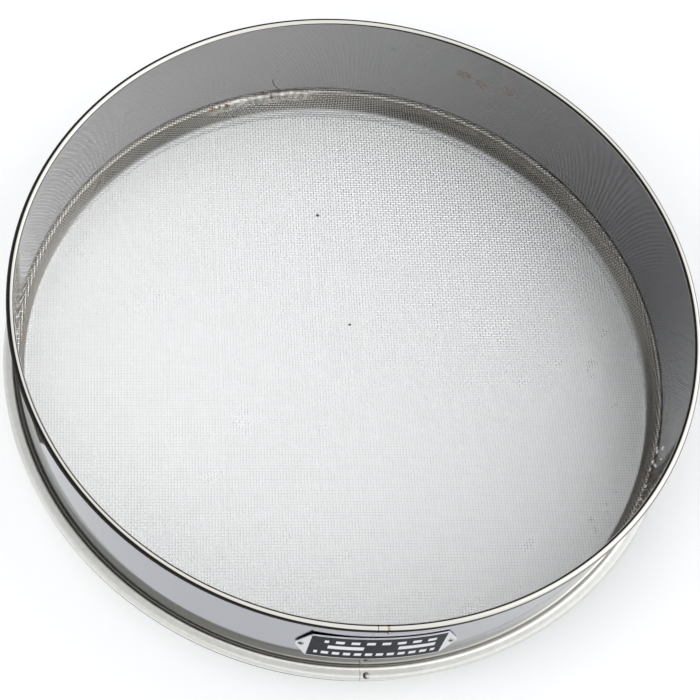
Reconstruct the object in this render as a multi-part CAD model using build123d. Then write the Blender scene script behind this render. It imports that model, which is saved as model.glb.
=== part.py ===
from build123d import *
import os
from math import acos, asin, atan2, cos, degrees, hypot, pi, radians, sin

# A drum sieve of sheet steel: a round shell with a rolled rim, a dished wire cloth whose edge is
# gripped and soldered in a folded seam at the foot of the shell, and a narrower skirt that nests
# in the next sieve.
# Lengths are millimetres. The origin is the middle of the standing plane and +Z is up.
# Azimuths are degrees from +X towards +Y, and the nameplate faces -Y.

# Shell: one strip of sheet, rolled round and butt welded, with a curled rim and a folded foot
bore_radius = 150.0
drum_height = 75.0
shell_sheet = 0.6
rim_bead_radius = 1.7
curl_gap = 0.05
fold_bend_radius = 1.9
fold_width = 5.5
fold_edge_radius = 1.9
lip_width = 4.9
fold_fall = 0.35

# Skirt: the nesting ring below the fold, with its own small flange
nest_clearance = 0.6
nest_depth = 17.6
skirt_sheet = 0.6
skirt_bend_radius = 0.6
skirt_flange_inset = 1.3

# Round wires inside the rim and inside the fold
rim_wire_clearance = 0.3
hoop_radius = 0.85
hoop_clearance = 0.05

# Wire cloth: plain weave of round wire, pressed into a shallow pan. A coarse grid of openings,
# as open as the weave, stands for its fine ones.
cloth_wire_diameter = 0.37
cloth_wire_pitch = 1.37
cloth_grid_margin = 2.2
cloth_grid_count = 12
cloth_least_opening_share = 0.15
cloth_slope_width = 1.6
cloth_pan_depth = 12.97
cloth_pan_radius = 0.8
cloth_clearance = 0.03

# Solder: a thin coat over the top of the cloth's slope, which runs under the foot of the wall
solder_thickness = 0.3
solder_depth = 5.0

# Nameplate: thin sheet bent round the shell, sprung a little off the wall along its top edge
plate_length = 68.0
plate_height = 26.0
plate_sheet = 0.5
plate_drop = 1.96
plate_point_length = 5.5
plate_tip_radius = 3.4
plate_rivet_inset = 2.6
plate_wall_gap = 0.05
plate_top_lift = 0.9
plate_azimuth = -90.0

# Rivets that hold the nameplate
rivet_shank_radius = 0.8
rivet_head_radius = 1.5
rivet_head_height = 0.7
rivet_hole_clearance = 0.05

# Welds along the seam, which lies behind the nameplate
seam_azimuth = -91.4
seam_weld_width = 1.0
seam_weld_margin = 0.6
spot_azimuth = -89.8
rim_spot_radius = 0.75
rim_spot_sink = 0.25
rim_spot_tilt = -10.0
fold_spot_azimuth = -90.4
fold_spot_radius = 1.9
fold_spot_sink = 1.3
fold_spot_tilt = 90.0

# Length by which a cutting tool runs past what it cuts
overrun = 2.0

# Radii and heights that follow from the sizes above
shell_radius = bore_radius + shell_sheet
fold_radius = shell_radius + fold_width
lip_radius = fold_radius - lip_width
rim_bead_middle = bore_radius + rim_bead_radius
rim_bead_height = drum_height - rim_bead_radius
rim_wire_radius = rim_bead_radius - shell_sheet - rim_wire_clearance
skirt_radius = bore_radius - nest_clearance
skirt_bore = skirt_radius - skirt_sheet
cloth_thickness = 2 * cloth_wire_diameter
lip_top = nest_depth + shell_sheet
hoop_height = lip_top + hoop_clearance + hoop_radius
flange_under = hoop_height + hoop_radius + hoop_clearance
flange_top = flange_under + skirt_sheet
cloth_edge_height = flange_top + cloth_thickness / 2
cloth_plane_height = cloth_edge_height - cloth_pan_depth
cloth_flat_radius = skirt_bore - cloth_slope_width
fold_top = flange_top + cloth_thickness + cloth_clearance + fold_fall + shell_sheet
fold_crease = shell_radius + fold_bend_radius
fold_edge_middle = fold_radius - fold_edge_radius
plate_middle_height = (fold_top + drum_height) / 2 - plate_drop
plate_print_length = plate_length - 2 * plate_point_length


def side_line(corners, bends, shift):
    """Line beside a bent strip's middle line, shifted to its left, with its bends kept concentric."""
    points = []
    radii = []
    last = len(corners) - 1
    for index, (x, y) in enumerate(corners):
        before = corners[max(index - 1, 0)]
        after = corners[min(index + 1, last)]
        if index == 0:
            before = (2 * x - after[0], 2 * y - after[1])
        if index == last:
            after = (2 * x - before[0], 2 * y - before[1])
        heading_in = atan2(y - before[1], x - before[0])
        heading_out = atan2(after[1] - y, after[0] - x)
        turn = (heading_out - heading_in + pi) % (2 * pi) - pi
        normal = heading_in + turn / 2 + pi / 2
        reach = shift / cos(turn / 2)
        points.append((x + reach * cos(normal), y + reach * sin(normal)))
        if 0 < index < last:
            radii.append(bends[index - 1] - shift if turn > 0 else bends[index - 1] + shift)
    return FilletPolyline(*points, radius=radii)


def strip_section(corners, bends, thickness, shift=0):
    """Closed section of a bent strip, whose middle line lies a shift to the left of the given line."""
    left = side_line(corners, bends, shift + thickness / 2)
    right = side_line(corners, bends, shift - thickness / 2)
    outline = [left, Line(left @ 1, right @ 1), right, Line(left @ 0, right @ 0)]
    return make_face(Curve() + outline)


def turned(section):
    """Solid of revolution about the sieve's axis, from a section in radius and height."""
    return revolve(Plane.XZ * section, Axis.Z)


def tube(inner_radius, outer_radius, bottom, top):
    """Plain ring wall between two radii and two heights."""
    wall = Circle(outer_radius) - Circle(inner_radius)
    return extrude(Plane.XY.offset(bottom) * wall, top - bottom)


def hoop(middle_radius, height, wire_radius):
    """Round wire bent into a full circle."""
    return Pos(0, 0, height) * Torus(middle_radius, wire_radius)


def radial_slab(azimuth, width, reach, bottom, top):
    """Flat slab from the axis out to a reach, as wide as given, at one azimuth."""
    slab = Pos(reach / 2, 0, (bottom + top) / 2) * Box(reach, width, top - bottom)
    return Rot(0, 0, azimuth) * slab


def radial_plane(azimuth, radius, height, tilt=0):
    """Plane that faces outwards at one azimuth, tilted upwards, with x along the circumference."""
    turn = radians(azimuth)
    lift = radians(tilt)
    origin = (radius * cos(turn), radius * sin(turn), height)
    facing = (cos(turn) * cos(lift), sin(turn) * cos(lift), sin(lift))
    return Plane(origin=origin, x_dir=(-sin(turn), cos(turn), 0), z_dir=facing)


def only(shape):
    """The single solid that a shape holds."""
    solids = shape.solids()
    assert len(solids) == 1, "expected one solid, found " + str(len(solids))
    return solids[0]


# Shell wall and fold, from the rim's bead down, outwards and back under the skirt's flange
middle_radius = bore_radius + shell_sheet / 2
fold_bend = fold_bend_radius + shell_sheet / 2
fold_edge = fold_edge_radius - shell_sheet / 2
fold_line = [
    (middle_radius, rim_bead_height),
    (middle_radius, fold_top - shell_sheet / 2),
    (fold_radius - shell_sheet / 2, fold_top - shell_sheet / 2 - fold_fall),
    (fold_radius - shell_sheet / 2, nest_depth + shell_sheet / 2),
    (lip_radius, nest_depth + shell_sheet / 2),
]
wall_and_fold = turned(strip_section(fold_line, [fold_bend, fold_edge, fold_edge], shell_sheet))

# Rim curl, from the wall over the top and round until its edge almost meets the wall again
full_turn = 360
curl_start = full_turn / 2
curl_opening = degrees(acos((rim_bead_radius - shell_sheet - curl_gap) / rim_bead_radius))
curl_sweep = curl_opening - full_turn
rim_middle = (rim_bead_middle, rim_bead_height)
curl_outside = CenterArc(rim_middle, rim_bead_radius, curl_start, curl_sweep)
curl_inside = CenterArc(rim_middle, rim_bead_radius - shell_sheet, curl_start, curl_sweep)
curl_outline = [
    curl_outside,
    Line(curl_outside @ 1, curl_inside @ 1),
    curl_inside,
    Line(curl_outside @ 0, curl_inside @ 0),
]
rim_curl = turned(make_face(Curve() + curl_outline))

# Butt weld of the shell's seam, which fills the full thickness of the sheet
seam_bottom = fold_top + fold_bend_radius + seam_weld_margin
seam_top = rim_bead_height - rim_bead_radius - seam_weld_margin
seam_slab = radial_slab(seam_azimuth, seam_weld_width, fold_radius, seam_bottom, seam_top)
seam_weld = tube(bore_radius, shell_radius, seam_bottom, seam_top) & seam_slab

# Rivet places, level with the middle of the nameplate and near its two tips
rivet_reach = plate_length / 2 - plate_rivet_inset
rivet_turn = degrees(asin(rivet_reach / shell_radius))
rivet_azimuths = {"left": plate_azimuth - rivet_turn, "right": plate_azimuth + rivet_turn}


def radial_pin(azimuth, radius, from_radius, to_radius):
    """Round pin along a radial line at the rivets' height, between two distances from the axis."""
    plane = radial_plane(azimuth, from_radius, plate_middle_height)
    return extrude(plane * Circle(radius), to_radius - from_radius)


rivet_hole_radius = rivet_shank_radius + rivet_hole_clearance
rivet_holes = [
    radial_pin(azimuth, rivet_hole_radius, bore_radius - overrun, fold_radius)
    for azimuth in rivet_azimuths.values()
]
upper_shell = only(wall_and_fold + rim_curl - seam_weld - rivet_holes)

# Wires that stiffen the rim and fill the fold
rim_wire = hoop(rim_bead_middle, rim_bead_height, rim_wire_radius)
fold_hoop = hoop(fold_edge_middle, hoop_height, hoop_radius)

# Skirt wall and its flange, which lies on the hoop inside the fold
skirt_flange_radius = fold_radius - skirt_flange_inset
skirt_middle = skirt_radius - skirt_sheet / 2
skirt_line = [
    (skirt_middle, 0),
    (skirt_middle, flange_under + skirt_sheet / 2),
    (skirt_flange_radius, flange_under + skirt_sheet / 2),
]
skirt_bend = skirt_bend_radius + skirt_sheet / 2
skirt_ring = turned(strip_section(skirt_line, [skirt_bend], skirt_sheet))
skirt_seam_top = flange_under - skirt_bend_radius - seam_weld_margin
skirt_slab = radial_slab(seam_azimuth, seam_weld_width, fold_radius, seam_weld_margin, skirt_seam_top)
skirt_seam_weld = tube(skirt_bore, skirt_radius, seam_weld_margin, skirt_seam_top) & skirt_slab
skirt = only(skirt_ring - skirt_seam_weld)

# Cloth: its edge lies on the skirt's flange, bends down over the flange's inner corner,
# and slopes to the flat of the pan along the line that just touches that bend
corner_bend = skirt_bend_radius + skirt_sheet + cloth_thickness / 2
corner_middle = (skirt_radius + skirt_bend_radius, cloth_edge_height - corner_bend)
across = corner_middle[0] - cloth_flat_radius
rise = corner_middle[1] - cloth_plane_height
slope = atan2(rise, across) + asin(corner_bend / hypot(across, rise))
corner_radius = cloth_flat_radius + (cloth_edge_height - cloth_plane_height) * cos(slope) / sin(slope)
cloth_line = [
    (fold_edge_middle, cloth_edge_height),
    (corner_radius, cloth_edge_height),
    (cloth_flat_radius, cloth_plane_height),
    (0, cloth_plane_height),
]
cloth_bends = [corner_bend, cloth_pan_radius]
cloth_dish = turned(strip_section(cloth_line, cloth_bends, cloth_thickness))
grid_radius = cloth_flat_radius - cloth_grid_margin
grid_pitch = 2 * grid_radius / cloth_grid_count
opening_side = grid_pitch * (1 - cloth_wire_diameter / cloth_wire_pitch)
grid_places = GridLocations(grid_pitch, grid_pitch, cloth_grid_count, cloth_grid_count)
grid_squares = Sketch() + [place * Rectangle(opening_side, opening_side) for place in grid_places]
least_opening = cloth_least_opening_share * opening_side**2
grid_openings = [face for face in (grid_squares & Circle(grid_radius)).faces() if face.area > least_opening]
grid_plane = Plane.XY.offset(cloth_plane_height - cloth_thickness)
grid_cutters = [extrude(grid_plane * face, 2 * cloth_thickness) for face in grid_openings]
wire_cloth = cloth_dish - grid_cutters

# Solder on the upper side of the cloth, down its slope as far as the solder's depth
solder_line = [
    (shell_radius, cloth_edge_height),
    (corner_radius, cloth_edge_height),
    (corner_radius - solder_depth * cos(slope) / sin(slope), cloth_edge_height - solder_depth),
]
solder_shift = -(cloth_thickness + solder_thickness) / 2
solder_band = turned(strip_section(solder_line, [corner_bend], solder_thickness, solder_shift))

# Nameplate: a band of sheet cut to a long shape with two rounded points
plate_bottom = plate_middle_height - plate_height / 2
plate_top = plate_middle_height + plate_height / 2
plate_inside = shell_radius + plate_wall_gap
band_corners = [
    (plate_inside, plate_bottom),
    (plate_inside + plate_sheet, plate_bottom),
    (plate_inside + plate_top_lift + plate_sheet, plate_top),
    (plate_inside + plate_top_lift, plate_top),
]
plate_band = turned(make_face(Polyline(*band_corners, close=True)))
print_corner = (plate_print_length / 2, plate_height / 2)
tip_middle = plate_length / 2 - plate_tip_radius
tip_away = (print_corner[0] - tip_middle, print_corner[1])
tip_distance = hypot(*tip_away)
tip_angle = atan2(tip_away[1], tip_away[0]) - acos(plate_tip_radius / tip_distance)
tip_touch = (tip_middle + plate_tip_radius * cos(tip_angle), plate_tip_radius * sin(tip_angle))
plate_outline = [
    Line((-print_corner[0], print_corner[1]), print_corner),
    Line(print_corner, tip_touch),
    ThreePointArc(tip_touch, (plate_length / 2, 0), (tip_touch[0], -tip_touch[1])),
    Line((tip_touch[0], -tip_touch[1]), (print_corner[0], -print_corner[1])),
    Line((print_corner[0], -print_corner[1]), (-print_corner[0], -print_corner[1])),
    Line((-print_corner[0], -print_corner[1]), (-tip_touch[0], -tip_touch[1])),
    ThreePointArc((-tip_touch[0], -tip_touch[1]), (-plate_length / 2, 0), (-tip_touch[0], tip_touch[1])),
    Line((-tip_touch[0], tip_touch[1]), (-print_corner[0], print_corner[1])),
]
plate_start = radial_plane(plate_azimuth, bore_radius - plate_length / 2, plate_middle_height)
plate_blank = extrude(plate_start * make_face(Curve() + plate_outline), plate_length)
nameplate = only((plate_band & plate_blank) - rivet_holes)

# Rivets: a domed head on the plate, and a shank that ends flush with the shell's bore
plate_seat = plate_inside + plate_top_lift / 2 + plate_sheet
rivet_ball_radius = (rivet_head_radius**2 + rivet_head_height**2) / (2 * rivet_head_height)
bore_air = Cylinder(bore_radius, drum_height, align=(Align.CENTER, Align.CENTER, Align.MIN))


def rivet(azimuth):
    """One domed rivet through the nameplate and the shell."""
    ball_place = radial_plane(azimuth, plate_seat + rivet_head_height - rivet_ball_radius, plate_middle_height)
    ball = ball_place * Sphere(rivet_ball_radius)
    head_start = plate_seat - plate_sheet / 2
    head = (ball & radial_pin(azimuth, rivet_ball_radius, head_start, fold_radius)) - plate_band
    shank = radial_pin(azimuth, rivet_shank_radius, bore_radius - overrun, plate_seat + rivet_head_height / 2)
    return only(head + (shank - bore_air))


def weld_lump(place, ball_radius, sink, body):
    """Rounded lump of weld metal on a sheet: the part of a sunk ball that stands proud of the sheet."""
    ball = place * Pos(0, 0, -sink) * Sphere(ball_radius)
    proud = place * Pos(0, 0, -shell_sheet / 2) * Cylinder(
        ball_radius, ball_radius, align=(Align.CENTER, Align.CENTER, Align.MIN)
    )
    return only((ball & proud) - body)


# Weld spots on the rim's bead and on the fold, where the strip's ends meet
rim_spot_turn = radians(rim_spot_tilt)
rim_spot_place = radial_plane(
    spot_azimuth,
    rim_bead_middle + rim_bead_radius * cos(rim_spot_turn),
    rim_bead_height + rim_bead_radius * sin(rim_spot_turn),
    rim_spot_tilt,
)
rim_weld_spot = weld_lump(rim_spot_place, rim_spot_radius, rim_spot_sink, upper_shell)
fold_spot_reach = (fold_crease + fold_radius) / 2
fold_spot_height = fold_top - fold_fall * (fold_spot_reach - shell_radius) / fold_width
fold_spot_place = radial_plane(fold_spot_azimuth, fold_spot_reach, fold_spot_height, fold_spot_tilt)
fold_weld_spot = weld_lump(fold_spot_place, fold_spot_radius, fold_spot_sink, upper_shell)

pieces = {
    "upper_shell": upper_shell,
    "shell_seam_weld": seam_weld,
    "rim_wire": rim_wire,
    "rim_weld_spot": rim_weld_spot,
    "fold_weld_spot": fold_weld_spot,
    "fold_hoop_wire": fold_hoop,
    "skirt": skirt,
    "skirt_seam_weld": skirt_seam_weld,
    "wire_cloth": wire_cloth,
    "solder_band": solder_band,
    "nameplate": nameplate,
    "rivet_left": rivet(rivet_azimuths["left"]),
    "rivet_right": rivet(rivet_azimuths["right"]),
}
os.makedirs("parts", exist_ok=True)
for name, piece in pieces.items():
    export_step(only(piece), "parts/" + name + ".step")
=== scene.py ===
from math import acos, asin, atan2, cos, degrees, hypot, pi, radians, sin, tan

import bpy
import numpy as np
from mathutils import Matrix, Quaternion, Vector, noise


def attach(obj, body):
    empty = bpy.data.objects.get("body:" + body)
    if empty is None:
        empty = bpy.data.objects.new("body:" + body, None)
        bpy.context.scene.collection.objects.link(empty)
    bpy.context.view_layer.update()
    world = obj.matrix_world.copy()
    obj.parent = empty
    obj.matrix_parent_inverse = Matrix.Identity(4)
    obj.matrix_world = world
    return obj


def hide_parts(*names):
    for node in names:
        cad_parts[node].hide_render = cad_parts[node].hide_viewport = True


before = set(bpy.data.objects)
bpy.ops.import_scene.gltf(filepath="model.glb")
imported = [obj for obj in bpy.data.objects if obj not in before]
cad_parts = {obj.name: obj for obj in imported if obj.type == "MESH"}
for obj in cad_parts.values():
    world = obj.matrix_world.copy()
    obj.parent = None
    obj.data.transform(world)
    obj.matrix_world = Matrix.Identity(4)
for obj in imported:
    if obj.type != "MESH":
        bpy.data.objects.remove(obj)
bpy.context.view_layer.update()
mm = 0.001

# The camera stands over the sieve, a little to the left of the nameplate, and is turned about its
# own axis, so the sieve leans to the right in the picture.
camera_aim = Vector((2.0, 1.65, 22.0)) * mm
camera_distance = 827.5 * mm
camera_heading = radians(18.0)
camera_elevation = radians(60.67)
camera_roll = radians(16.33)
camera_sensor = 36.0
camera_lens = 91.67

camera_data = bpy.data.cameras.new("camera")
camera_data.lens = camera_lens
camera_data.sensor_width = camera_sensor
camera_data.clip_start = 10 * mm
camera = bpy.data.objects.new("camera", camera_data)
bpy.context.scene.collection.objects.link(camera)
looking = Vector((
    sin(camera_heading) * cos(camera_elevation),
    cos(camera_heading) * cos(camera_elevation),
    -sin(camera_elevation),
))
camera.location = camera_aim - camera_distance * looking
camera.rotation_mode = "QUATERNION"
camera.rotation_quaternion = looking.to_track_quat("-Z", "Y") @ Quaternion((0, 0, 1), camera_roll)
bpy.context.scene.camera = camera


# Upper shell: one strip of satin stainless sheet, rolled round and butt welded. Its top is curled
# outwards into a polished bead, and its foot flares out and is folded back under the skirt's flange.
bore_radius = 150.0
drum_height = 75.0
shell_sheet = 0.6
bead_radius = 1.7
bead_gap = 0.05
fold_bend = 1.9
fold_width = 5.5
fold_edge = 1.9
fold_fall = 0.35
lip_width = 4.9
nest_depth = 17.6
fold_top = 22.32
seam_azimuth = -91.4
fold_radius = bore_radius + shell_sheet + fold_width
lathe_sides = 288
bend_steps = 12
curl_steps = 44
support_gap = 0.15
merge_distance = 0.002
crease_angle = radians(40)
far = 1000.0


def arc_places(middle, radius, start, end, steps):
    """Places and headings along an arc, as (radius, height, heading), between two angles in radians."""
    side = 1 if end > start else -1
    places = []
    for step in range(steps + 1):
        angle = start + (end - start) * step / steps
        place = (middle[0] + radius * cos(angle), middle[1] + radius * sin(angle))
        places.append((place[0], place[1], angle + side * pi / 2))
    return places


def bent_line(corners, bends):
    """Middle line of a bent strip: its ends, its bends, and a place just inside each straight run."""
    headings = [atan2(after[1] - place[1], after[0] - place[0]) for place, after in zip(corners, corners[1:])]
    places = [(*corners[0], headings[0])]
    for corner, heading_in, heading_out, bend in zip(corners[1:], headings, headings[1:], bends):
        turn = (heading_out - heading_in + pi) % (2 * pi) - pi
        side = 1 if turn > 0 else -1
        tangent = bend * tan(abs(turn) / 2)
        start = (corner[0] - tangent * cos(heading_in), corner[1] - tangent * sin(heading_in))
        middle = (start[0] - side * bend * sin(heading_in), start[1] + side * bend * cos(heading_in))
        first = heading_in - side * pi / 2
        arc = arc_places(middle, bend, first, first + turn, bend_steps)
        lead = (arc[0][0] - support_gap * cos(heading_in), arc[0][1] - support_gap * sin(heading_in))
        trail = (arc[-1][0] + support_gap * cos(heading_out), arc[-1][1] + support_gap * sin(heading_out))
        places += [(*lead, heading_in), *arc, (*trail, heading_out)]
    return places + [(*corners[-1], headings[-1])]


def strip_outline(places, thickness):
    """Closed outline of a strip, once up its left side and once down its right side."""
    left = [(x - thickness / 2 * sin(h), y + thickness / 2 * cos(h)) for x, y, h in places]
    right = [(x + thickness / 2 * sin(h), y - thickness / 2 * cos(h)) for x, y, h in places]
    return left + right[::-1]


def apply_placing(piece):
    """Takes a piece's place, turn and size into its mesh."""
    bpy.ops.object.select_all(action="DESELECT")
    piece.select_set(True)
    bpy.context.view_layer.objects.active = piece
    bpy.ops.object.transform_apply(location=True, rotation=True, scale=True)


def lathe(name, outline, sides=lathe_sides):
    """Solid of revolution about Z: one circle drawn out ring by ring along a closed outline in mm."""
    bpy.ops.object.select_all(action="DESELECT")
    radius, height = outline[0]
    bpy.ops.mesh.primitive_circle_add(vertices=sides, radius=radius * mm, location=(0, 0, height * mm))
    piece = bpy.context.object
    piece.name = name
    apply_placing(piece)
    bpy.ops.object.mode_set(mode="EDIT")
    bpy.ops.mesh.select_all(action="SELECT")
    for next_radius, next_height in outline[1:] + outline[:1]:
        lift = (0, 0, (next_height - height) * mm)
        bpy.ops.mesh.extrude_edges_move(TRANSFORM_OT_translate={"value": lift})
        grow = next_radius / radius
        bpy.ops.transform.resize(value=(grow, grow, 1), center_override=(0, 0, next_height * mm))
        radius, height = next_radius, next_height
    bpy.ops.mesh.select_all(action="SELECT")
    bpy.ops.mesh.remove_doubles(threshold=merge_distance * mm)
    bpy.ops.mesh.normals_make_consistent(inside=False)
    bpy.ops.object.mode_set(mode="OBJECT")
    bpy.ops.object.shade_smooth_by_angle(angle=crease_angle)
    return piece


def feed(tree, made, inputs):
    """Links or sets inputs of a node, each named or numbered."""
    for name, value in dict(inputs).items():
        socket = made.inputs[name]
        if isinstance(value, bpy.types.NodeSocket):
            tree.links.new(value, socket)
        else:
            socket.default_value = value


def node(tree, kind, inputs=(), **settings):
    """New shader node with its settings and inputs."""
    made = tree.nodes.new("ShaderNode" + kind)
    for name, value in settings.items():
        setattr(made, name, value)
    feed(tree, made, inputs)
    return made


def calc(tree, operation, first, second=0.0):
    """Result of one Math node."""
    return node(tree, "Math", {0: first, 1: second}, operation=operation).outputs[0]


def plus(tree, first, *others):
    """Sum of numbers."""
    for other in others:
        first = calc(tree, "ADD", first, other)
    return first


def times(tree, first, *others):
    """Product of numbers."""
    for other in others:
        first = calc(tree, "MULTIPLY", first, other)
    return first


def without(tree, share):
    """What a share leaves of 1."""
    return calc(tree, "SUBTRACT", 1.0, share)


def ramp(tree, value, low, high, first=0.0, second=1.0, curve="LINEAR"):
    """Runs from a first number to a second one while a value runs from low to high."""
    limits = {"Value": value, "From Min": low, "From Max": high, "To Min": first, "To Max": second}
    return node(tree, "MapRange", limits, interpolation_type=curve).outputs[0]


def soft_ramp(tree, value, low, high, first=0.0, second=1.0):
    """Ramp that starts and ends gently."""
    return ramp(tree, value, low, high, first, second, "SMOOTHSTEP")


def mix_value(tree, share, first, second):
    """Number between two others."""
    return ramp(tree, share, 0.0, 1.0, first, second)


def mix_colour(tree, share, first, second):
    """Colour between two others."""
    mixer = node(tree, "Mix", {"Factor": share}, data_type="RGBA")
    for socket, value in zip([s for s in mixer.inputs if s.type == "RGBA"], (first, second)):
        if isinstance(value, bpy.types.NodeSocket):
            tree.links.new(value, socket)
        else:
            socket.default_value = (*value, 1.0)
    return [s for s in mixer.outputs if s.type == "RGBA"][0]


def between(tree, value, low, high, soft):
    """1 where a value lies between two limits and 0 outside, with soft edges."""
    rising = soft_ramp(tree, value, low - soft, low + soft)
    passed = soft_ramp(tree, value, high - soft, high + soft)
    return times(tree, rising, without(tree, passed))


def belt(tree, value, low, high, soft):
    """The same for a radius or a height in metres and limits in mm."""
    return between(tree, value, low * mm, high * mm, soft * mm)


def speckle(tree, place, scale, detail):
    """Noise from 0 to 1, by place."""
    return node(tree, "TexNoise", {"Vector": place, "Scale": scale, "Detail": detail}).outputs["Fac"]


def relief(tree, height, strength, depth, under=None):
    """Normal of a bump with its depth in mm, which may lie over another normal."""
    inputs = {"Height": height, "Strength": strength, "Distance": depth * mm}
    if under is not None:
        inputs["Normal"] = under
    return node(tree, "Bump", inputs).outputs[0]


def blank_material(name, metallic):
    """New material, its tree and its Principled shader."""
    material = bpy.data.materials.new(name)
    material.use_nodes = True
    shader = material.node_tree.nodes["Principled BSDF"]
    shader.inputs["Metallic"].default_value = metallic
    return material, material.node_tree, shader


def round_coordinates(tree):
    """Place of a point, its azimuth in radians, and its radius and height in metres."""
    place = node(tree, "TexCoord").outputs["Object"]
    parts = node(tree, "SeparateXYZ", {0: place}).outputs
    azimuth = calc(tree, "ARCTAN2", parts["Y"], parts["X"])
    square = plus(tree, times(tree, parts["X"], parts["X"]), times(tree, parts["Y"], parts["Y"]))
    return place, azimuth, calc(tree, "SQRT", square), parts["Z"]


def toward(tree, azimuth, turn, low, high, first=0.0):
    """Rises to 1 toward an azimuth in degrees, between two cosines of the angle to it."""
    facing = calc(tree, "COSINE", calc(tree, "SUBTRACT", azimuth, radians(turn)))
    return ramp(tree, facing, low, high, first)


def streaks(tree, azimuth, radius, height, width, length):
    """Noise drawn out along the circumference, as brushing or rolling leaves it. Sizes in mm."""
    place = node(tree, "CombineXYZ", {
        "X": times(tree, azimuth, bore_radius / length),
        "Y": times(tree, radius, 1000 / width),
        "Z": times(tree, height, 1000 / width),
    })
    return speckle(tree, place.outputs[0], 1.0, 2.0)


def oval(tree, azimuth, height, middle, reach):
    """Where a point lies in an oval on the wall: across, along and in all, 1 being the oval's line.

    The oval's middle is an azimuth in degrees and a height in mm, and its reach is in mm.
    """
    turn = calc(tree, "SUBTRACT", azimuth, radians(middle[0]))
    across = times(tree, turn, bore_radius / reach[0])
    along = calc(tree, "SUBTRACT", times(tree, height, 1000 / reach[1]), middle[1] / reach[1])
    place = node(tree, "CombineXYZ", {"X": across, "Y": along}).outputs[0]
    return across, along, node(tree, "VectorMath", {0: place}, operation="LENGTH").outputs["Value"]


def blot(tree, azimuth, height, middle, reach, ragged):
    """1 inside a ragged oval mark and 0 outside."""
    away = plus(tree, oval(tree, azimuth, height, middle, reach)[2], mix_value(tree, ragged, -0.5, 0.5))
    return soft_ramp(tree, away, 1.3, 0.3)


def hair_line(tree, azimuth, height):
    """1 on the thin curved scratch low on the far wall: a quarter of an oval, falling to the right."""
    middle = (95.2, 32.5)
    reach = (15.2, 12.6)
    half_width = 0.015
    across, along, away = oval(tree, azimuth, height, middle, reach)
    line = between(tree, away, 1 - half_width, 1 + half_width, 0.012)
    quarter = times(tree, between(tree, across, -0.05, 2.0, 0.05), between(tree, along, -2.0, 0.0, 0.05))
    return times(tree, line, quarter)


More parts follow.
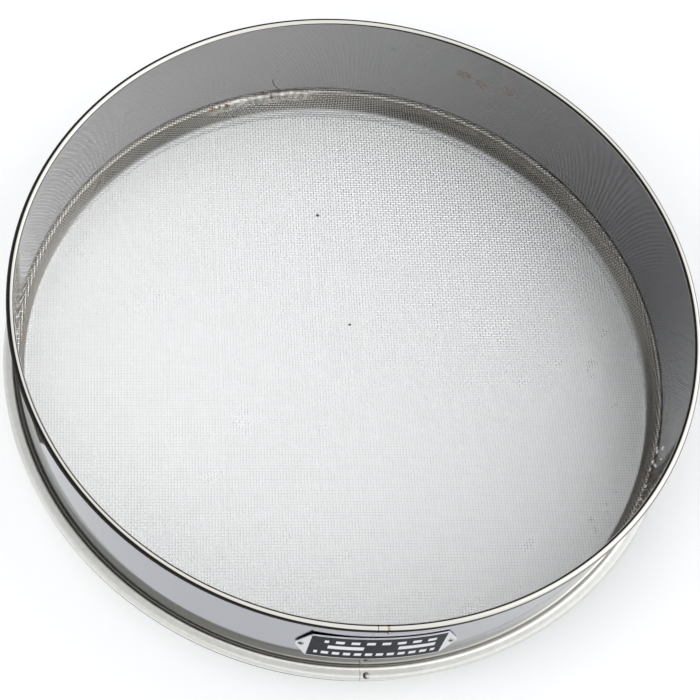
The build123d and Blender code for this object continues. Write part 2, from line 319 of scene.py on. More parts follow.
def shell_steel():
    """Satin sheet, polished on the bead, rubbed dull on the fold, with a few old stains inside. Painted shade
    darkens the inner wall toward the right, the outer wall low down (most at the front left), and the fold's
    lip on the left.
    """
    wall_colour = (0.35, 0.35, 0.345)
    # Painted shade: the inner wall's colour toward the right.
    shaded_wall_colour = (0.155, 0.155, 0.162)
    outside_colour = (0.38, 0.39, 0.42)
    # Painted shade: the outer wall's colour low down.
    shaded_foot_colour = (0.14, 0.138, 0.133)
    fillet_colour = (0.42, 0.41, 0.385)
    # Painted shade: the colour of the fold's lip on the left.
    shaded_lip_colour = (0.04, 0.038, 0.036)
    bead_colour = (0.43, 0.42, 0.395)
    fold_colour = (0.80, 0.80, 0.765)
    fold_worn = (0.66, 0.66, 0.62)
    stain_colour = (0.20, 0.165, 0.14)
    scratch_colour = (0.075, 0.055, 0.045)
    residue_colour = (0.075, 0.075, 0.07)
    heat_colour = (0.22, 0.17, 0.09)
    seam_colour = (0.09, 0.08, 0.07)
    stain_marks = (
        ((65.3, 55.9), (4.6, 2.6)),
        ((61.7, 53.9), (3.8, 3.0)),
        ((56.3, 58.8), (4.2, 3.2)),
        ((-16.3, 50.4), (0.9, 0.8)),
    )
    stain_strength = 0.75
    residue_mark = ((-26.0, 33.0), (29.0, 21.0))
    residue_strength = 0.85
    heat_mark = ((-89.8, 74.4), (0.8, 1.0))
    wall_shade_azimuth = -35
    foot_shade_azimuth = 225
    lip_shade_azimuth = 205
    foot_shade_top = 36.5
    fillet_top = 27.2
    fold_zone_top = 50.0
    seam_half_turn = 0.06
    seam_on_fold = 0.6
    fold_dullness = 0.85
    fold_roughness = 0.22
    fillet_roughness = 0.25
    bead_polish = 0.4
    outer_face = bore_radius + shell_sheet
    material, tree, shader = blank_material("shell_steel", 1.0)
    place, azimuth, radius, height = round_coordinates(tree)
    brushed = streaks(tree, azimuth, radius, height, 0.5, 22)
    fine = streaks(tree, azimuth, radius, height, 0.16, 9)
    cloudy = speckle(tree, place, 22.0, 4.0)
    ragged = speckle(tree, place, 420.0, 4.0)

    inside = belt(tree, radius, 0.0, bore_radius + shell_sheet / 2, 0.05)
    outside = belt(tree, radius, bore_radius + 0.9 * shell_sheet, far, 0.05)
    top = belt(tree, height, drum_height - 0.75 * bead_radius, far, 0.15)
    outer = belt(tree, radius, bore_radius + 0.35 * bead_radius, far, 0.15)
    outer = times(tree, outer, belt(tree, height, drum_height - 2.3 * bead_radius, far, 0.2))
    on_bead = calc(tree, "MAXIMUM", top, outer)
    on_fold = times(tree, belt(tree, radius, outer_face + 1.1, far, 0.35), without(tree, on_bead))
    flat_fold = belt(tree, radius, outer_face + 1.7, far, 0.35)
    flat_fold = times(tree, flat_fold, belt(tree, height, fold_top - 2.1, fold_zone_top, 0.3))
    # Painted shade: the fold's lip, low down and toward the left, is drawn nearly black.
    shaded_lip = belt(tree, height, 0.0, fold_top - 2.3, 0.25)
    shaded_lip = times(tree, toward(tree, azimuth, lip_shade_azimuth, 0.3, 0.6), shaded_lip)
    fillet = belt(tree, radius, outer_face + 0.15, outer_face + 1.4, 0.2)
    fillet = times(tree, fillet, belt(tree, height, 0.0, fold_top + 2.5, 0.8))
    # Painted shade: the outer wall low down is drawn darker, most toward the front left, in place of the
    # reflected shadow of the sieve on the table.
    uneven = plus(tree, height, mix_value(tree, cloudy, -1.0 * mm, 1.0 * mm))
    foot_shade = belt(tree, uneven, 0.0, foot_shade_top, 1.2)
    foot_shade = times(tree, foot_shade, toward(tree, azimuth, foot_shade_azimuth, 0.5, 0.87, 0.5))
    # Painted shade: the inner wall is drawn darker toward the right, in place of dark reflections.
    wall_shade = toward(tree, azimuth, wall_shade_azimuth, -0.7, 0.98)
    seam_start = radians(seam_azimuth - seam_half_turn)
    seam_end = radians(seam_azimuth + seam_half_turn)
    seam = between(tree, azimuth, seam_start, seam_end, radians(0.03))
    seam = times(tree, seam, plus(tree, on_bead, times(tree, on_fold, seam_on_fold)))

    stains = 0.0
    for mark in stain_marks:
        stains = calc(tree, "MAXIMUM", blot(tree, azimuth, height, *mark, ragged), stains)
    stains = times(tree, stains, stain_strength, inside)
    scratch = times(tree, hair_line(tree, azimuth, height), inside)
    residue = blot(tree, azimuth, height, *residue_mark, ragged)
    residue = times(tree, residue, residue_strength, inside)
    heated = times(tree, blot(tree, azimuth, height, *heat_mark, ragged), on_bead)

    colour = mix_colour(tree, foot_shade, outside_colour, shaded_foot_colour)
    colour = mix_colour(tree, belt(tree, height, 0.0, fillet_top, 0.9), colour, fillet_colour)
    colour = mix_colour(tree, outside, mix_colour(tree, wall_shade, wall_colour, shaded_wall_colour), colour)
    colour = mix_colour(tree, on_bead, colour, bead_colour)
    worn = mix_colour(tree, mix_value(tree, ragged, -0.2, 0.9), fold_colour, fold_worn)
    colour = mix_colour(tree, on_fold, colour, mix_colour(tree, shaded_lip, worn, shaded_lip_colour))
    for share, mark_colour in (
        (residue, residue_colour),
        (stains, stain_colour),
        (scratch, scratch_colour),
        (heated, heat_colour),
        (seam, seam_colour),
    ):
        colour = mix_colour(tree, share, colour, mark_colour)
    dull = plus(tree, times(tree, flat_fold, fold_dullness), times(tree, stains, 0.6))
    rough = plus(tree, mix_value(tree, cloudy, 0.04, 0.08), mix_value(tree, brushed, -0.01, 0.02))
    rough = plus(tree, rough, times(tree, fillet, fillet_roughness), times(tree, on_fold, fold_roughness))
    rough = times(tree, rough, without(tree, times(tree, on_bead, bead_polish)))
    grain = relief(tree, plus(tree, times(tree, brushed, 0.6), times(tree, fine, 0.4)), 0.05, 0.04)
    feed(tree, shader, {
        "Base Color": colour,
        "Metallic": without(tree, dull),
        "Roughness": plus(tree, rough, times(tree, stains, 0.3)),
        "Normal": relief(tree, times(tree, ragged, on_fold), 0.5, 0.12, grain),
    })
    return material


wall_middle = bore_radius + shell_sheet / 2
bead_middle = (bore_radius + bead_radius, drum_height - bead_radius)
curl_turn = pi - acos((bead_radius - shell_sheet - bead_gap) / bead_radius)
curl = arc_places(bead_middle, bead_radius - shell_sheet / 2, -curl_turn, pi, curl_steps)
fold_corners = [
    (wall_middle, bead_middle[1] - support_gap),
    (wall_middle, fold_top - shell_sheet / 2),
    (fold_radius - shell_sheet / 2, fold_top - shell_sheet / 2 - fold_fall),
    (fold_radius - shell_sheet / 2, nest_depth + shell_sheet / 2),
    (fold_radius - lip_width, nest_depth + shell_sheet / 2),
]
fold_bends = [fold_bend + shell_sheet / 2, fold_edge - shell_sheet / 2, fold_edge - shell_sheet / 2]
shell = lathe("upper_shell_sheet", strip_outline(curl + bent_line(fold_corners, fold_bends), shell_sheet))
shell.data.materials.append(shell_steel())
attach(shell, "root")
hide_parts("upper_shell")


# Skirt: the narrower ring below the fold. It is rolled from the same sheet, carries a small flange
# inside the fold, and nests in the bore of the next sieve.
skirt_radius = 149.4
skirt_sheet = 0.6
skirt_bend = 0.6
skirt_flange_radius = fold_radius - 1.3
skirt_flange_height = 20.3


def skirt_steel():
    """Satin sheet with coarser brushing than the shell, dark inside behind the cloth with residue and painted
    shade.
    """
    clean_colours = ((0.56, 0.57, 0.58), (0.64, 0.645, 0.65))
    residue_and_shade_colours = ((0.03, 0.027, 0.024), (0.08, 0.07, 0.06))
    residue_and_shade_start = 7.5
    material, tree, shader = blank_material("skirt_steel", 1.0)
    place, azimuth, radius, height = round_coordinates(tree)
    brushed = streaks(tree, azimuth, radius, height, 0.6, 30)
    cloudy = speckle(tree, place, 30.0, 3.0)
    # Residue and painted shade: the inside above the cloth's plane is dark.
    residue_and_shade = belt(tree, radius, 0.0, skirt_radius - skirt_sheet / 2, 0.05)
    residue_and_shade = times(tree, residue_and_shade, belt(tree, height, residue_and_shade_start, far, 0.8))
    clean = mix_colour(tree, cloudy, *clean_colours)
    feed(tree, shader, {
        "Base Color": mix_colour(tree, residue_and_shade, clean, mix_colour(tree, cloudy, *residue_and_shade_colours)),
        "Metallic": without(tree, times(tree, residue_and_shade, 0.7)),
        "Roughness": plus(tree, mix_value(tree, brushed, 0.24, 0.36), mix_value(tree, cloudy, -0.04, 0.04)),
        "Normal": relief(tree, brushed, 0.15, 0.05),
    })
    return material


skirt_corners = [
    (skirt_radius - skirt_sheet / 2, 0),
    (skirt_radius - skirt_sheet / 2, skirt_flange_height),
    (skirt_flange_radius, skirt_flange_height),
]
skirt_line = bent_line(skirt_corners, [skirt_bend + skirt_sheet / 2])
skirt = lathe("skirt_ring", strip_outline(skirt_line, skirt_sheet))
skirt.data.materials.append(skirt_steel())
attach(skirt, "root")
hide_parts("skirt")


# Wire cloth: plain weave of bright drawn wire, eighteen wires to the inch, pressed into a shallow
# pan. Its edge climbs over the skirt's corner and is gripped between the two flanges in the fold.
cloth_wire = 0.37
cloth_pitch = 1.37
cloth_flat_radius = 147.2
cloth_plane_height = 8.0
cloth_pan_radius = 0.8
cloth_edge_height = 20.97
cloth_cut_radius = 152.4
wire_corner_share = 1.12
row_wander = 0.03
loose_row_share = 0.05
loose_row_shift = 0.16
chance_seed = 1000
join_distance = 0.01


def cloth_section():
    """Distance across the flat cloth, and the radius, height and heading that it is pressed to."""
    corner_bend = skirt_bend + skirt_sheet + cloth_wire
    middle = (skirt_radius + skirt_bend, cloth_edge_height - corner_bend)
    across = middle[0] - cloth_flat_radius
    rise = middle[1] - cloth_plane_height
    slope = atan2(rise, across) + asin(corner_bend / hypot(across, rise))
    corner_radius = cloth_flat_radius + (cloth_edge_height - cloth_plane_height) / tan(slope)
    corners = [
        (0.0, cloth_plane_height),
        (cloth_flat_radius, cloth_plane_height),
        (corner_radius, cloth_edge_height),
        (cloth_cut_radius, cloth_edge_height),
    ]
    places = np.array(bent_line(corners, [cloth_pan_radius, corner_bend]))
    steps = np.hypot(np.diff(places[:, 0]), np.diff(places[:, 1]))
    return np.concatenate([[0], np.cumsum(steps)]), places


def vertex_rows(piece, field):
    """Places ("co") or normals ("normal") of a piece's vertices, one row each."""
    values = np.zeros(len(piece.data.vertices) * 3)
    piece.data.vertices.foreach_get(field, values)
    return values.reshape(-1, 3)


def wire_bank(name, first_row, rows, shift):
    """Bank of parallel crimped wires along X, one row each pitch, cut to the cloth's circle.

    Two rows of one wave each are drawn and repeated. Each row then wanders a little to the side.
    """
    reach = cloth_section()[0][-1]
    half_count = int(reach / cloth_pitch / 2) + 1
    crest = cloth_wire / 2 * mm
    corner_radius = crest * wire_corner_share
    step = cloth_pitch * mm
    start = (-2 * half_count * step, first_row * step)
    bpy.ops.object.select_all(action="DESELECT")
    waves = []
    for row in (0, 1):
        rise = crest if (row + first_row + shift) % 2 == 0 else -crest
        place = (start[0], start[1] + row * step, rise)
        bpy.ops.mesh.primitive_circle_add(
            vertices=4, radius=corner_radius, location=place, rotation=(0, pi / 2, 0))
        wave = bpy.context.object
        apply_placing(wave)
        bpy.ops.object.mode_set(mode="EDIT")
        bpy.ops.mesh.select_all(action="SELECT")
        for change in (-2 * rise, 2 * rise):
            bpy.ops.mesh.extrude_edges_move(TRANSFORM_OT_translate={"value": (step, 0, change)})
        bpy.ops.object.mode_set(mode="OBJECT")
        waves.append(wave)
        bpy.ops.object.select_all(action="DESELECT")
    for wave in waves:
        wave.select_set(True)
    bpy.context.view_layer.objects.active = waves[0]
    bpy.ops.object.join()
    bank = bpy.context.object
    bank.name = name
    along = bank.modifiers.new("along", "ARRAY")
    along.use_merge_vertices = True
    along.merge_threshold = join_distance * mm
    beside = bank.modifiers.new("beside", "ARRAY")
    for array, offset, count in (
        (along, (2 * step, 0, 0), 2 * half_count),
        (beside, (0, 2 * step, 0), rows // 2),
    ):
        array.use_relative_offset = False
        array.use_constant_offset = True
        array.constant_offset_displace = offset
        array.count = count
        bpy.ops.object.modifier_apply(modifier=array.name)
    spots = vertex_rows(bank, "co")
    chance = np.random.default_rng(first_row + 2 * shift + chance_seed)
    wander = chance.normal(0.0, row_wander, rows)
    loose = chance.random(rows) < loose_row_share
    wander = wander + loose * chance.choice([-loose_row_shift, loose_row_shift], rows)
    row_of = np.clip(np.round(spots[:, 1] / step).astype(int) - first_row, 0, rows - 1)
    spots[:, 1] += wander[row_of] * mm
    bank.data.vertices.foreach_set("co", spots.ravel())
    outside = np.hypot(spots[:, 0], spots[:, 1]) > reach * mm
    bpy.ops.object.mode_set(mode="EDIT")
    bpy.ops.mesh.select_mode(type="VERT")
    bpy.ops.mesh.select_all(action="DESELECT")
    bpy.ops.object.mode_set(mode="OBJECT")
    bank.data.vertices.foreach_set("select", outside)
    bpy.ops.object.mode_set(mode="EDIT")
    bpy.ops.mesh.delete(type="VERT")
    bpy.ops.mesh.select_all(action="SELECT")
    bpy.ops.mesh.normals_make_consistent(inside=False)
    bpy.ops.object.mode_set(mode="OBJECT")
    bpy.ops.object.shade_smooth()
    return bank


def press_into_pan(bank):
    """Moves each point of a flat bank to its place on the pressed pan."""
    reach, places = cloth_section()
    spots = vertex_rows(bank, "co")
    flat = np.hypot(spots[:, 0], spots[:, 1])
    radius = np.interp(flat / mm, reach, places[:, 0]) * mm
    height = np.interp(flat / mm, reach, places[:, 1]) * mm
    heading = np.interp(flat / mm, reach, places[:, 2])
    radius = radius - spots[:, 2] * np.sin(heading)
    height = height + spots[:, 2] * np.cos(heading)
    grow = radius / np.maximum(flat, 0.001 * mm)
    spots = np.stack([spots[:, 0] * grow, spots[:, 1] * grow, height], axis=1)
    bank.data.vertices.foreach_set("co", spots.ravel())
    bank.data.update()


def cloth_steel(name, bright):
    """Bright drawn wire, a little uneven from place to place, and brown with dirt on the slope, where painted
    shade also darkens it away from the back.
    """
    wire_tint = (0.985, 0.99, 1.0)
    dirt_and_shade_colours = ((0.34, 0.32, 0.29), (0.64, 0.63, 0.585))
    slope_lit_azimuth = 75
    material, tree, shader = blank_material(name, 1.0)
    place, azimuth, radius, height = round_coordinates(tree)
    low = tuple(0.93 * bright * part for part in wire_tint)
    high = tuple(bright * part for part in wire_tint)
    bare = mix_colour(tree, speckle(tree, place, 900.0, 1.0), low, high)
    slope = belt(tree, radius, cloth_flat_radius - 0.2, far, 0.3)
    slope = times(tree, slope, belt(tree, height, 0.0, cloth_edge_height - 0.7, 0.5))
    # Painted shade: the dirty slope is drawn darker away from the back.
    brown_and_shade = mix_colour(tree, toward(tree, azimuth, slope_lit_azimuth, -0.1, 0.5), *dirt_and_shade_colours)
    feed(tree, shader, {
        "Base Color": mix_colour(tree, slope, bare, brown_and_shade),
        "Roughness": mix_value(tree, speckle(tree, place, 60.0, 4.0), 0.24, 0.34),
    })
    return material


cloth_rows = 2 * (int(cloth_section()[0][-1] / cloth_pitch / 2) + 1)
# The weft is drawn a little darker than the warp: painted shade, in place of the brighter crest highlights
# that light gives one direction of wire.
warp_material = cloth_steel("warp_steel", 0.98)
weft_material = cloth_steel("weft_steel", 0.90)
for name, first_row, turned in (
    ("cloth_warp_front", -cloth_rows, False),
    ("cloth_warp_back", 0, False),
    ("cloth_weft_left", -cloth_rows, True),
    ("cloth_weft_right", 0, True),
):
    bank = wire_bank(name, first_row, cloth_rows, 1 if turned else 0)
    if turned:
        bank.rotation_euler = (0, 0, pi / 2)
        apply_placing(bank)
    press_into_pan(bank)
    bank.data.materials.append(weft_material if turned else warp_material)
    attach(bank, "root")
    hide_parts("wire_cloth")


# Solder: tin run into the mesh where it bends over the skirt's corner. It lies between the wires,
# so their tops show as ribs, swells over them in places, and holds brown specks of burnt flux.
solder_outer_radius = 150.6
solder_depth = 5.0
solder_sheet = 0.3
solder_shift = -0.06
solder_swell = 0.50
solder_peak = 0.36
solder_sides = 900
solder_slope_steps = 14
lumps_azimuth = 103
lumps_reach = 10
drips_azimuth = -24
drips_reach = 9
drips_share = 0.5


def solder_section():
    """Middle line of the solder, from under the wall round the corner and down the slope."""
    keep = []
    for radius, height, heading in cloth_section()[1][::-1]:
        if radius <= solder_outer_radius and height >= cloth_edge_height - solder_depth:
            keep.append((radius, height, heading + pi))
    slope = keep[-1][2]
    drop = cloth_edge_height - solder_depth
    foot = keep[-1][0] + (drop - keep[-1][1]) / tan(slope)
    line = [(solder_outer_radius, cloth_edge_height, pi)] + keep
    for step in range(1, solder_slope_steps + 1):
        share = step / solder_slope_steps
        radius = keep[-1][0] + share * (foot - keep[-1][0])
        line.append((radius, keep[-1][1] + share * (drop - keep[-1][1]), slope))
    return [(x + solder_shift * sin(h), y - solder_shift * cos(h), h) for x, y, h in line]


def solder_tin():
    """Tin, dark down between the wires with flux and painted shade, paler along the top of the bend as a
    painted highlight, pale where it is thick, with rusty specks.
    """
    thin_colours = ((0.07, 0.06, 0.045), (0.20, 0.18, 0.15))
    thick_colours = ((0.55, 0.54, 0.49), (0.76, 0.75, 0.71))
    flux_colour = (0.16, 0.075, 0.04)
    crest_highlight_share = 0.12
    flux_marks = ((113.0, 2.2), (111.5, 1.0), (110.0, 1.3), (101.0, 0.6), (-24.0, 1.4))
    lumps_start = (radians(90), radians(96))
    lumps_end = (radians(117), radians(110))
    material, tree, shader = blank_material("solder_tin", 1.0)
    place, azimuth, _, height = round_coordinates(tree)
    ragged = speckle(tree, place, 420.0, 4.0)
    cloudy = speckle(tree, place, 90.0, 3.0)
    lumpy = times(tree, soft_ramp(tree, azimuth, *lumps_start), soft_ramp(tree, azimuth, *lumps_end))
    # Painted highlight: the solder along the top of the bend is drawn paler.
    crest = belt(tree, height, cloth_edge_height - 0.9, far, 0.35)
    patchy = ramp(tree, ragged, 0.44, 0.66, 0.3, 1.0)
    pale = plus(tree, times(tree, crest, crest_highlight_share), times(tree, lumpy, patchy))
    pale = calc(tree, "MINIMUM", pale, 1.0)
    thin = mix_colour(tree, ragged, *thin_colours)
    thick = mix_colour(tree, cloudy, *thick_colours)
    flux = 0.0
    for turn, length in flux_marks:
        mark = blot(tree, azimuth, height, (turn, cloth_edge_height - 0.8), (length, 1.3), ragged)
        flux = calc(tree, "MAXIMUM", mark, flux)
    dull = calc(tree, "MAXIMUM", mix_value(tree, cloudy, 0.2, 0.7), times(tree, flux, 0.9))
    feed(tree, shader, {
        "Base Color": mix_colour(tree, flux, mix_colour(tree, pale, thin, thick), flux_colour),
        "Metallic": without(tree, dull),
        "Roughness": mix_value(tree, ragged, 0.22, 0.5),
        "Normal": relief(tree, ragged, 0.5, 0.15),
    })
    return material


solder = lathe("solder_fillet", strip_outline(solder_section(), solder_sheet), solder_sides)
for vertex, facing in zip(solder.data.vertices, vertex_rows(solder, "normal")):
    turn = degrees(atan2(vertex.co.y, vertex.co.x))
    uneven = noise.noise(vertex.co * 260) + 0.6 * noise.noise(vertex.co * 800)
    lumps = min(1.0, max(0.0, 1.25 - abs(turn - lumps_azimuth) / lumps_reach))
    drips = drips_share * max(0.0, 1 - abs(turn - drips_azimuth) / drips_reach)
    swell = solder_swell * max(0.0, 0.15 + 1.3 * uneven) * min(1.0, lumps + drips)
    vertex.co += Vector(facing) * min(swell, solder_peak) * mm
solder.data.materials.append(solder_tin())
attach(solder, "root")
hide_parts("solder_band")


# Residue: two dark specks caught in the cloth, and drops of flux on the wall at the lower right.
speck_colour = (0.05, 0.04, 0.035)
drop_colour = (0.62, 0.61, 0.585)


def dried_residue(name, colour, metallic):
    """Dried lump, mottled."""
    material, tree, shader = blank_material(name, metallic)
    mottle = speckle(tree, node(tree, "TexCoord").outputs["Object"], 1800.0, 3.0)
    pale = tuple(min(1.0, 1.6 * part) for part in colour)
    feed(tree, shader, {
        "Base Color": mix_colour(tree, mottle, colour, pale),
        "Roughness": mix_value(tree, mottle, 0.2, 0.45),
    })
    return material


def lump(name, place, size, facing, material):
    """Small uneven lump, flattened along the direction that it faces. Places and sizes in mm."""
    bpy.ops.object.select_all(action="DESELECT")
    bpy.ops.mesh.primitive_ico_sphere_add(subdivisions=3, radius=1)
    piece = bpy.context.object
    piece.name = name
    for vertex in piece.data.vertices:
        vertex.co *= 1 + 0.35 * noise.noise(vertex.co * 1.7 + Vector(place))
    piece.scale = Vector(size) * mm
    piece.rotation_mode = "QUATERNION"
    piece.rotation_quaternion = Vector(facing).to_track_quat("Z", "Y")
    piece.location = Vector(place) * mm
    apply_placing(piece)
    bpy.ops.object.shade_smooth()
    piece.data.materials.append(material)
    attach(piece, "root")


speck_material = dried_residue("speck_residue", speck_colour, 0.0)
for name, x, y, size in (("speck_back", -6.9, 83.9, 0.85), ("speck_middle", 5.1, 22.6, 0.7)):
    speck_place = (x, y, cloth_plane_height + cloth_wire)
    lump(name, speck_place, (size, 0.8 * size, 0.3 * size), (0, 0, 1), speck_material)
drop_material = dried_residue("drop_residue", drop_colour, 0.2)
for index, (turn, height, size) in enumerate((
    (-22.2, 39.6, 1.0), (-19.4, 25.0, 0.9), (-20.6, 27.6, 1.0), (-22.0, 23.5, 1.1), (-23.9, 30.5, 0.8),
    (-25.3, 44.0, 0.7), (-25.1, 35.4, 0.8), (-23.3, 21.9, 0.9), (-27.6, 26.4, 0.8), (-30.6, 27.5, 0.7),
)):
    inward = Vector((-cos(radians(turn)), -sin(radians(turn)), 0))
    drop_place = Vector((0, 0, height)) - inward * bore_radius
    drop_size = (size, size, 0.45 * size)
    lump("flux_drop_" + str(index + 1), drop_place, drop_size, inward, drop_material)


# Nameplate: thin aluminium sheet with two pointed ends, bent round the shell and riveted at its
# ends, so that its top edge stands a little off the wall. Its middle is a black printed field.
plate_length = 68.0
plate_height = 26.0
plate_sheet = 0.5
plate_print_length = 57.0
plate_tip_radius = 3.4
plate_middle = 46.7
plate_inside = bore_radius + shell_sheet + 0.05
plate_lift = 0.75
plate_middle_lift_share = 0.3
plate_edge_round = 0.08
plate_columns = 120
plate_rows = 24


def plate_half_height(x):
    """Half the plate's height at a distance from its middle, in mm."""
    tip_middle = plate_length / 2 - plate_tip_radius
    away = (plate_print_length / 2 - tip_middle, plate_height / 2)
    angle = atan2(away[1], away[0]) - acos(plate_tip_radius / hypot(*away))
    touch = (tip_middle + plate_tip_radius * cos(angle), plate_tip_radius * sin(angle))
    x = abs(x)
    if x <= plate_print_length / 2:
        return plate_height / 2
    if x >= touch[0]:
        return max(plate_tip_radius ** 2 - (x - tip_middle) ** 2, 0) ** 0.5
    share = (x - plate_print_length / 2) / (touch[0] - plate_print_length / 2)
    return plate_height / 2 + share * (touch[1] - plate_height / 2)


def plate_stand(x, z):
    """Radius of the plate's inner face by place on the plate, in mm. Its left end stands off most."""
    sprung = plate_middle_lift_share + (1 - plate_middle_lift_share) * max(0.0, -2 * x / plate_length) ** 2
    return plate_inside + plate_lift * sprung * (z + plate_height / 2) / plate_height


def plate_finish():
    """Bare aluminium with a black printed field, in which two blank panels and plain bars are white."""
    bare_colour = (0.83, 0.84, 0.87)
    ink_colour = (0.008, 0.010, 0.017)
    paint_colour = (0.80, 0.81, 0.84)
    field_size = (28.2, 12.3)
    panels = ((-20.5, -5.5), (9.0, 24.5))
    panel_heights = (-1.6, 2.3)
    edge = 0.12
    material, tree, shader = blank_material("plate_finish", 0.0)
    place = node(tree, "TexCoord").outputs["Object"]
    parts = node(tree, "SeparateXYZ", {0: place}).outputs
    x = times(tree, parts["X"], 1000.0)
    z = calc(tree, "SUBTRACT", times(tree, parts["Z"], 1000.0), plate_middle)
    field = times(tree, between(tree, x, -field_size[0], field_size[0], edge),
                  between(tree, z, -field_size[1], field_size[1], edge))
    white = 0.0
    for left, right in panels:
        panel = times(tree, between(tree, x, left, right, edge), between(tree, z, *panel_heights, edge))
        white = calc(tree, "MAXIMUM", white, panel)
    for low, high, left, right, step, width in (
        (5.2, 8.2, -22.5, 24.5, 6.4, 3.6),
        (-8.6, -5.4, -25.5, 25.5, 4.6, 3.0),
    ):
        beat = calc(tree, "PINGPONG", calc(tree, "SUBTRACT", x, left), step / 2)
        bars = calc(tree, "LESS_THAN", beat, width / 2)
        row = times(tree, between(tree, z, low, high, edge), between(tree, x, left, right, edge), bars)
        white = calc(tree, "MAXIMUM", white, row)
    scuffs = speckle(tree, place, 700.0, 3.0)
    feed(tree, shader, {
        "Base Color": mix_colour(tree, field, bare_colour, mix_colour(tree, white, ink_colour, paint_colour)),
        "Metallic": without(tree, field),
        "Roughness": mix_value(tree, scuffs, 0.30, 0.48),
        "Specular IOR Level": 0.06,
        "Normal": relief(tree, scuffs, 0.08, 0.05),
    })
    return material


bpy.ops.object.select_all(action="DESELECT")
bpy.ops.mesh.primitive_grid_add(x_subdivisions=plate_columns, y_subdivisions=plate_rows, size=1)
plate = bpy.context.object
plate.name = "nameplate_sheet"
for vertex in plate.data.vertices:
    x = vertex.co.x * plate_length
    z = vertex.co.y * 2 * plate_half_height(x)
    vertex.co = Vector((x, -(plate_stand(x, z) ** 2 - x ** 2) ** 0.5, z + plate_middle)) * mm
bpy.ops.object.mode_set(mode="EDIT")
bpy.ops.mesh.select_all(action="SELECT")
bpy.ops.mesh.remove_doubles(threshold=join_distance * mm)
bpy.ops.mesh.normals_make_consistent(inside=False)
bpy.ops.object.mode_set(mode="OBJECT")
if plate.data.polygons[len(plate.data.polygons) // 2].normal.y > 0:
    plate.data.flip_normals()
thick = plate.modifiers.new("thick", "SOLIDIFY")
thick.thickness = plate_sheet * mm
thick.offset = 1.0
bpy.ops.object.modifier_apply(modifier=thick.name)
rounded = plate.modifiers.new("rounded", "BEVEL")
rounded.width = plate_edge_round * mm
rounded.segments = 2
rounded.limit_method = "ANGLE"
rounded.angle_limit = radians(50)
bpy.ops.object.modifier_apply(modifier=rounded.name)
bpy.ops.object.shade_smooth_by_angle(angle=crease_angle)
plate.data.materials.append(plate_finish())
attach(plate, "root")
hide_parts("nameplate")


# Rivets: soft aluminium, with a domed head on the plate and a shank that ends flush with the bore.
# Their heads are dull and a little dented from the hammer.
rivet_shank = 0.8
rivet_head = 1.5
rivet_dome = 0.7
rivet_sides = 40
rivet_inset = 2.6
rivet_inner_end = 0.02
rivet_sink = 0.05
rivet_core = 0.01
rivet_crown_turn = 0.02


def rivet_aluminium():
    """Dull aluminium with small dents."""
    dent_colours = ((0.60, 0.60, 0.61), (0.78, 0.78, 0.78))
    material, tree, shader = blank_material("rivet_aluminium", 1.0)
    dents = speckle(tree, node(tree, "TexCoord").outputs["Object"], 1500.0, 3.0)
    feed(tree, shader, {
        "Base Color": mix_colour(tree, dents, *dent_colours),
        "Roughness": mix_value(tree, dents, 0.28, 0.46),
        "Normal": relief(tree, dents, 0.3, 0.1),
    })
    return material


rivet_material = rivet_aluminium()
rivet_turn = asin((plate_length / 2 - rivet_inset) / (bore_radius + shell_sheet))
dome_radius = (rivet_head ** 2 + rivet_dome ** 2) / (2 * rivet_dome)
dome_middle = (0, rivet_dome - dome_radius)
dome_start = pi / 2 - asin(rivet_head / dome_radius)
dome = arc_places(dome_middle, dome_radius, dome_start, pi / 2 - rivet_crown_turn, bend_steps)
for name, side in (("rivet_left", -1), ("rivet_right", 1)):
    plate_seat = plate_stand(side * (plate_length / 2 - rivet_inset), 0) + plate_sheet
    rivet_outline = [
        (rivet_core, bore_radius - rivet_inner_end - plate_seat),
        (rivet_shank, bore_radius - rivet_inner_end - plate_seat),
        (rivet_shank, -rivet_sink),
        (rivet_head, -rivet_sink),
        *[(x, y) for x, y, heading in dome],
    ]
    pin = lathe(name + "_pin", rivet_outline, rivet_sides)
    outwards = Vector((side * sin(rivet_turn), -cos(rivet_turn), 0))
    pin.rotation_mode = "QUATERNION"
    pin.rotation_quaternion = outwards.to_track_quat("Z", "Y")
    pin.location = (outwards * plate_seat + Vector((0, 0, plate_middle))) * mm
    apply_placing(pin)
    pin.data.materials.append(rivet_material)
    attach(pin, "root")
    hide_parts(name)


# Welds: the ground butt welds of the two seams, and small lumps on the bead and the fold. They keep
# their CAD shapes and get the brown and straw tints that heat leaves.
def weld_metal():
    """Weld metal with heat tints."""
    tint_colours = ((0.58, 0.565, 0.52), (0.19, 0.165, 0.135))
    material, tree, shader = blank_material("weld_metal", 1.0)
    place = node(tree, "TexCoord").outputs["Object"]
    tint = mix_value(tree, speckle(tree, place, 500.0, 3.0), -0.7, 1.3)
    pits = speckle(tree, place, 2200.0, 2.0)
    feed(tree, shader, {
        "Base Color": mix_colour(tree, tint, *tint_colours),
        "Roughness": mix_value(tree, pits, 0.22, 0.5),
        "Normal": relief(tree, pits, 0.4, 0.08),
    })
    return material


weld_material = weld_metal()
for name in ("shell_seam_weld", "skirt_seam_weld", "rim_weld_spot", "fold_weld_spot"):
    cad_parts[name].data.materials.clear()
    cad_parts[name].data.materials.append(weld_material)


# Wires inside the rim and inside the fold: drawn steel, which shows only through gaps. They keep
# their CAD shapes.
def drawn_wire():
    """Dull drawn steel with fine lengthwise lines."""
    line_colours = ((0.42, 0.42, 0.43), (0.56, 0.56, 0.57))
    material, tree, shader = blank_material("drawn_wire", 1.0)
    _, azimuth, radius, height = round_coordinates(tree)
    lines = streaks(tree, azimuth, radius, height, 0.12, 40)
    feed(tree, shader, {
        "Base Color": mix_colour(tree, lines, *line_colours),
        "Roughness": mix_value(tree, lines, 0.3, 0.5),
    })
    return material


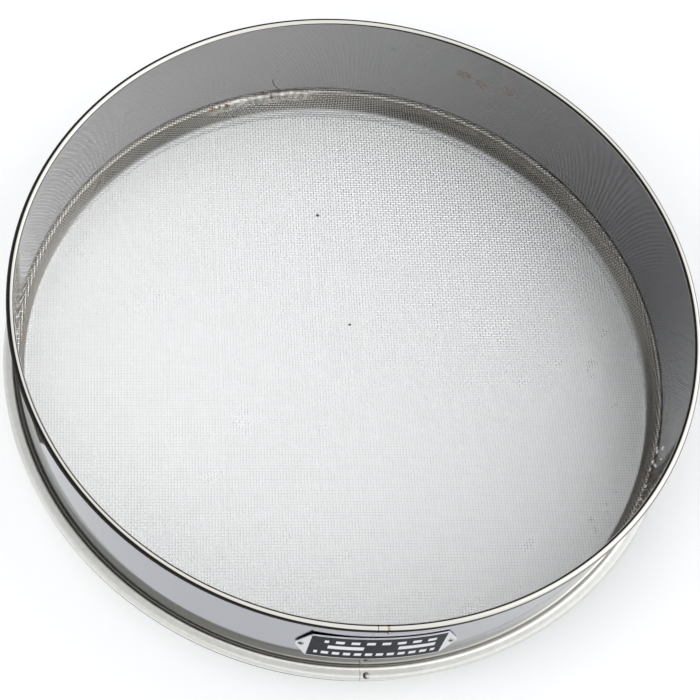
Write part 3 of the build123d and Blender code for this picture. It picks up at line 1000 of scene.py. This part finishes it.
wire_material = drawn_wire()
for name in ("rim_wire", "fold_hoop_wire"):
    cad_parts[name].data.materials.clear()
    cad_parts[name].data.materials.append(wire_material)


# Studio, in metres: a white table under a tent that only reflections show. The tent is bright
# overhead, high in front and most of all on the right, and dark on the left and low at the back, as
# the lines on the metal ask. A dark ring ends the table's image in the outer wall; on the left it comes
# nearer, as a painted shadow of the sieve on the table.
table_size = 6
table_height = -0.0002
table_white_level = 0.88
table_glow_left = 0.34
table_glow_right = 0.11
table_glow_outside = 0.20
table_glow_reach = 0.14
table_glow_rim = (0.146, 0.185)
tent_radius = 1.6
tent_foot = 0.0006
tent_fade_height = 0.15
tent_bright = 1.8
tent_dark = 0.04
tent_facing = (0.72, -0.18, 1.0)
tent_edge = (0.58, 0.82)
tent_hot = 1.2
tent_hot_facing = (0.72, 0.05, 0.69)
tent_hot_edge = (0.80, 1.0)
ring_height = 0.0004
ring_radius = 0.20
ring_sides = 180
ring_shadow_radius = 0.157
ring_shadow_start = 100
ring_shadow_ease = 194
ring_shadow_end = 210
ring_levels = (0.10, 0.75)
ring_rise = (0.2, 0.9)
sky_light = 0.88
sky_seen = 1.03
sky_colour = (0.97, 0.985, 1.0, 1)
lamp_size = 1.1
lamp_aim = Vector((0, 0, 0.02))


def stage_material(name):
    """New material of a stage piece that only gives light, its tree and its emission shader."""
    material = bpy.data.materials.new(name)
    material.use_nodes = True
    tree = material.node_tree
    tree.nodes.remove(tree.nodes["Principled BSDF"])
    glow = tree.nodes.new("ShaderNodeEmission")
    tree.links.new(glow.outputs[0], tree.nodes["Material Output"].inputs["Surface"])
    material.cycles.emission_sampling = "NONE"
    return material, tree, glow


def reflected_only(piece):
    """Leaves a stage piece to reflections: no camera, diffuse or shadow ray meets it."""
    piece.visible_camera = False
    piece.visible_diffuse = False
    piece.visible_shadow = False
    piece.visible_volume_scatter = False


def direction(tree):
    """Direction of a point of a stage piece, seen from the sieve."""
    place = node(tree, "TexCoord").outputs["Object"]
    return node(tree, "VectorMath", {0: place}, operation="NORMALIZE").outputs["Vector"]


def tent_cloth():
    """Brightness of the tent by direction from the sieve."""
    material, tree, glow = stage_material("tent_cloth")
    away = direction(tree)
    side, hot = [
        node(tree, "VectorMath", {0: away, 1: facing}, operation="DOT_PRODUCT").outputs["Value"]
        for facing in (tent_facing, tent_hot_facing)
    ]
    level = soft_ramp(tree, hot, *tent_hot_edge, tent_bright, tent_bright + tent_hot)
    above = ramp(tree, node(tree, "SeparateXYZ", {0: away}).outputs["Z"], 0.0, tent_fade_height)
    strength = times(tree, soft_ramp(tree, side, *tent_edge), level, above)
    feed(tree, glow, {"Strength": plus(tree, strength, tent_dark)})
    return material


def ring_cloth():
    """Dark cloth, less dark toward the right."""
    material, tree, glow = stage_material("dark_surround")
    side = node(tree, "SeparateXYZ", {0: direction(tree)}).outputs["X"]
    feed(tree, glow, {"Strength": soft_ramp(tree, side, *ring_rise, *ring_levels)})
    return material


def seen_share(tree):
    """1 for a ray that shows its target, by camera or reflection, and 0 for one that only lights."""
    path = node(tree, "LightPath").outputs
    seen = calc(tree, "MAXIMUM", path["Is Camera Ray"], path["Is Glossy Ray"])
    return calc(tree, "MAXIMUM", seen, path["Is Transmission Ray"])


def table_white():
    """White table that keeps the sieve's shadow, with a painted pool of light under the cloth, brighter at
    the left and dimmer at the right.
    """
    material, tree, shader = blank_material("table_white", 0.0)
    place, _, radius, _ = round_coordinates(tree)
    across = node(tree, "SeparateXYZ", {0: place}).outputs["X"]
    # Painted pool of light: under the cloth the table glows more at the left than at the right.
    below = ramp(tree, across, -table_glow_reach, table_glow_reach, table_glow_left, table_glow_right)
    glow = soft_ramp(tree, radius, *table_glow_rim, below, table_glow_outside)
    feed(tree, shader, {
        "Base Color": (table_white_level, table_white_level, table_white_level, 1),
        "Roughness": 0.9,
        "Emission Color": (1, 1, 1, 1),
        "Emission Strength": times(tree, seen_share(tree), glow),
    })
    return material


bpy.ops.object.select_all(action="DESELECT")
bpy.ops.mesh.primitive_plane_add(size=table_size, location=(0, 0, table_height))
table = bpy.context.object
table.name = "table"
table.data.materials.append(table_white())

bpy.ops.object.select_all(action="DESELECT")
bpy.ops.mesh.primitive_uv_sphere_add(segments=64, ring_count=32, radius=tent_radius)
tent = bpy.context.object
tent.name = "tent"
bpy.ops.object.mode_set(mode="EDIT")
bpy.ops.mesh.select_all(action="SELECT")
bpy.ops.mesh.bisect(plane_co=(0, 0, tent_foot), plane_no=(0, 0, 1), clear_inner=True)
bpy.ops.object.mode_set(mode="OBJECT")
tent.data.materials.append(tent_cloth())
reflected_only(tent)

bpy.ops.object.select_all(action="DESELECT")
bpy.ops.mesh.primitive_circle_add(vertices=ring_sides, radius=ring_radius, location=(0, 0, ring_height))
surround = bpy.context.object
surround.name = "dark_surround"
# On the left the ring comes nearer to the sieve: a painted shadow of the sieve on the table, as the outer
# wall reflects it.
for vertex in surround.data.vertices:
    turn = degrees(atan2(vertex.co.y, vertex.co.x)) % 360
    if ring_shadow_start < turn < ring_shadow_end:
        eased = max(0.0, (turn - ring_shadow_ease) / (ring_shadow_end - ring_shadow_ease))
        vertex.co *= (ring_shadow_radius + eased * (ring_radius - ring_shadow_radius)) / ring_radius
bpy.ops.object.mode_set(mode="EDIT")
bpy.ops.mesh.select_all(action="SELECT")
bpy.ops.mesh.extrude_edges_move()
grow = tent_radius / ring_radius
bpy.ops.transform.resize(value=(grow, grow, 1), center_override=(0, 0, ring_height))
bpy.ops.object.mode_set(mode="OBJECT")
surround.data.materials.append(ring_cloth())
reflected_only(surround)

world = bpy.data.worlds.new("studio")
bpy.context.scene.world = world
world.use_nodes = True
sky = world.node_tree
feed(sky, sky.nodes["Background"], {
    "Color": sky_colour,
    "Strength": mix_value(sky, seen_share(sky), sky_light, sky_seen),
})


def soft_lamp(name, place, power):
    """Square area lamp that faces the sieve."""
    light = bpy.data.lights.new(name, "AREA")
    light.shape = "SQUARE"
    light.size = lamp_size
    light.energy = power
    lamp = bpy.data.objects.new(name, light)
    bpy.context.scene.collection.objects.link(lamp)
    lamp.location = place
    lamp.rotation_mode = "QUATERNION"
    lamp.rotation_quaternion = (lamp_aim - Vector(place)).to_track_quat("-Z", "Y")
    lamp.visible_glossy = False


soft_lamp("lamp_right", (0.9, -0.2, 1.0), 1)
soft_lamp("lamp_left", (-0.9, -0.5, 0.8), 6)
bpy.context.scene.view_settings.view_transform = "Standard"
